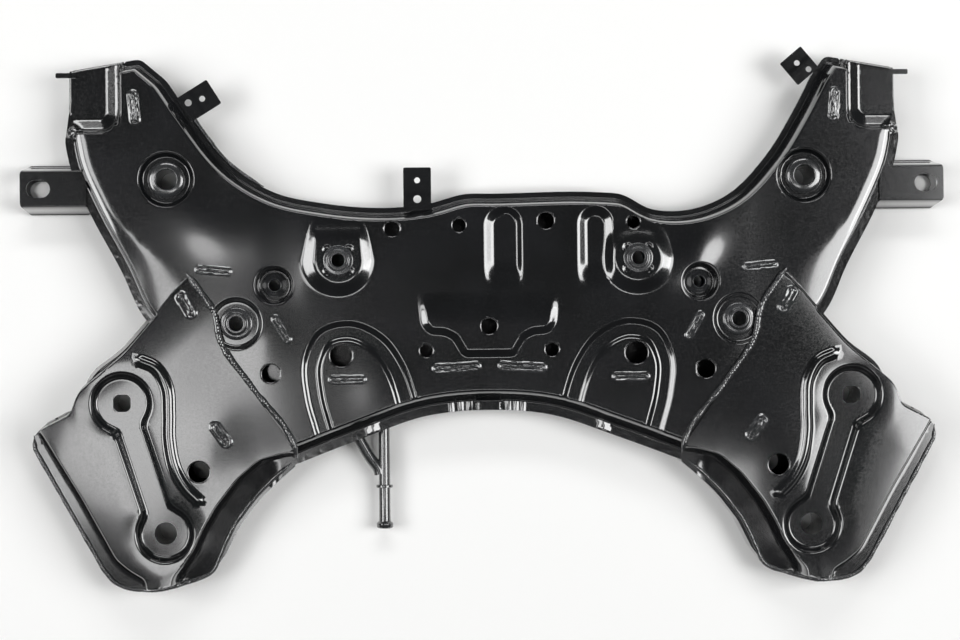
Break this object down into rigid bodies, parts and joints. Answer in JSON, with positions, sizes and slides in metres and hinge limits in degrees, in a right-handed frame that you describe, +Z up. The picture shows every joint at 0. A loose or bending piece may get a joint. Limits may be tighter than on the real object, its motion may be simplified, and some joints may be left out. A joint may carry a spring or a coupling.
{
  "type": "vehicle front subframe",
  "caption": "Pressed steel front subframe with horns, wings, brackets and weld nuts, painted black, that carries the steering rack and control arms.",
  "frame": {"origin": "centre of the outline, on the surface that the subframe rests on", "axes": "+X across the car to the right of the picture, +Y along the car to the top of the picture, +Z up, towards the picture's viewer"},
  "size_m": [0.936, 0.546, 0.07],
  "materials": {
    "dip_paint": "gloss black dip paint on pressed steel",
    "painted_fittings": "gloss black dip paint on turned steel",
    "painted_welds": "gloss black dip paint on rough weld beads"
  },
  "bodies": {
    "root": {"upper_shell": "dip_paint", "lower_shell": "dip_paint", "left_wing_plate": "dip_paint", "right_wing_plate": "dip_paint", "left_wing_pan": "dip_paint", "right_wing_pan": "dip_paint", "left_horn_bracket": "dip_paint", "right_horn_bracket": "dip_paint", "left_side_bracket": "dip_paint", "right_side_bracket": "dip_paint", "left_clip_bracket": "dip_paint", "right_clip_bracket": "dip_paint", "centre_clip_bracket": "dip_paint", "flange_clip": "dip_paint", "left_horn_sleeve": "painted_fittings", "right_horn_sleeve": "painted_fittings", "left_rack_nut": "painted_fittings", "right_rack_nut": "painted_fittings", "left_well_nut": "painted_fittings", "right_well_nut": "painted_fittings", "left_arm_sleeve": "painted_fittings", "right_arm_sleeve": "painted_fittings", "left_front_sleeve": "painted_fittings", "right_front_sleeve": "painted_fittings", "left_rear_sleeve": "painted_fittings", "right_rear_sleeve": "painted_fittings", "hanger_rod": "painted_fittings", "hanger_stay": "painted_fittings", "left_seam_weld": "painted_welds", "right_seam_weld": "painted_welds", "left_edge_weld": "painted_welds", "right_edge_weld": "painted_welds", "plug_welds": "painted_welds"}
  },
  "joints": []
}
